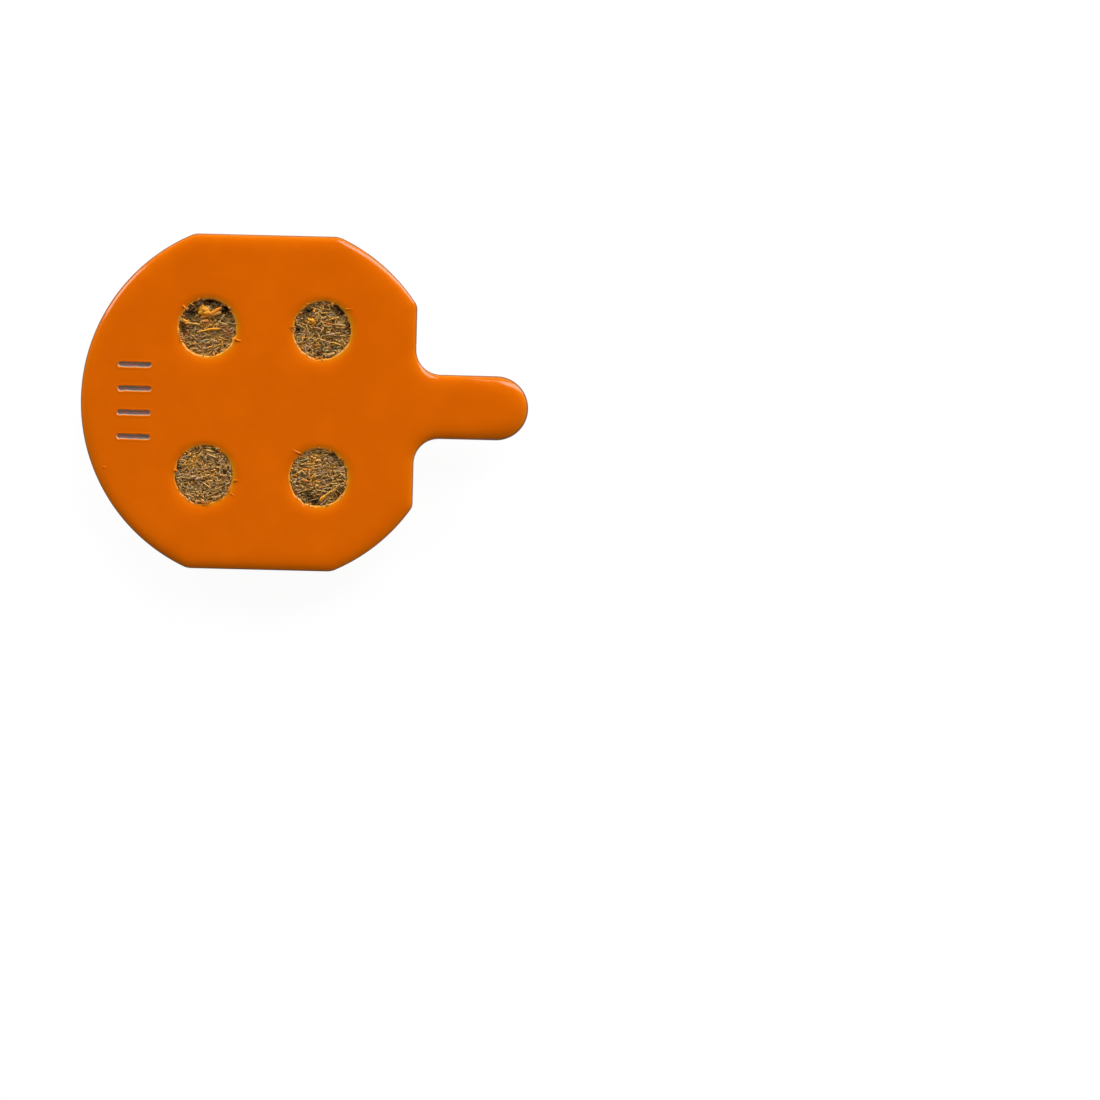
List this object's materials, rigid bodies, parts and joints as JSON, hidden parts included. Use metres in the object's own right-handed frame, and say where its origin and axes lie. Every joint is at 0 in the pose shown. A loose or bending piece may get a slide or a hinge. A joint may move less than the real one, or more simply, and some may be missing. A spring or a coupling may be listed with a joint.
{
  "type": "bicycle disc brake pad",
  "caption": "Disc brake pad: a painted steel backing plate with a rounded body and a locating tab, and friction compound moulded to its front and through its anchor holes.",
  "frame": {"origin": "where the piston axis meets the friction face, at the centre of the round body", "axes": "+X along the tab, away from the body; +Y across the pad, towards one side flat; +Z through the pad, from the friction face to the back of the plate"},
  "size_m": [0.0331, 0.0248, 0.004],
  "materials": {
    "plate_paint": "glossy orange stove enamel over blanked steel",
    "friction_compound": "matt, rough brown resin compound with pale fibres and mineral grains"
  },
  "bodies": {
    "root": {"backing_plate": "plate_paint", "friction_block": "friction_compound"}
  },
  "joints": []
}
